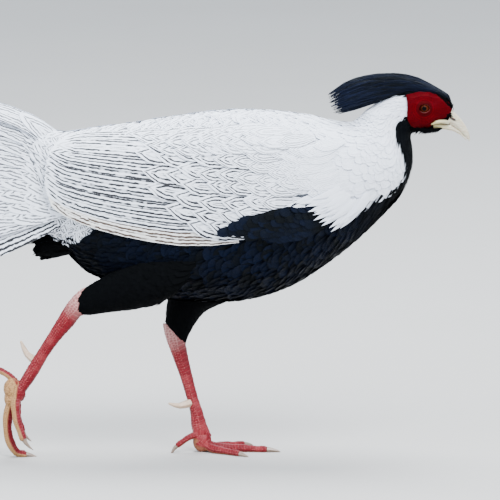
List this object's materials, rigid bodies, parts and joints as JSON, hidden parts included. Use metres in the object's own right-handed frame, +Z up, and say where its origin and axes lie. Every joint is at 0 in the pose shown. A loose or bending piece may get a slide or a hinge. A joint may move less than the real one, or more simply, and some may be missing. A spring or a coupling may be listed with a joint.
{
  "type": "silver pheasant model",
  "caption": "Life-size still model of a male silver pheasant in mid-stride, with white barred back, wings and long arched tail, blue-black crest and breast, red face and legs",
  "frame": {"origin": "on the floor, under the middle of the bird's overall box", "axes": "+X the way the bird faces, from tail tip to bill; +Y the bird's left; +Z up"},
  "size_m": [1.0236, 0.1446, 0.3838],
  "materials": {
    "white_feather": "soft white feathers with fine grey-black lines",
    "black_feather": "glossy blue-black feathers",
    "red_skin": "crimson velvety bare skin",
    "leg_skin": "red scaled skin",
    "horn": "smooth pale horn",
    "eye": "wet dark brown eye"
  },
  "bodies": {
    "root": {"torso": "black_feather", "neck": "white_feather", "head": "white_feather", "crest": "black_feather", "face_left": "red_skin", "face_right": "red_skin", "eye_left": "eye", "eye_right": "eye", "bill_upper": "horn", "bill_lower": "horn", "wing_left": "white_feather", "wing_right": "white_feather", "tail": "white_feather", "vent_feathers": "black_feather", "thigh_left": "black_feather", "thigh_right": "black_feather", "shank_left": "leg_skin", "shank_right": "leg_skin", "foot_left": "leg_skin", "foot_right": "leg_skin", "spur_left": "horn", "spur_right": "horn", "claw_left_middle": "horn", "claw_left_inner": "horn", "claw_left_outer": "horn", "claw_left_hind": "horn", "claw_right_middle": "horn", "claw_right_inner": "horn", "claw_right_outer": "horn", "claw_right_hind": "horn"}
  },
  "joints": []
}
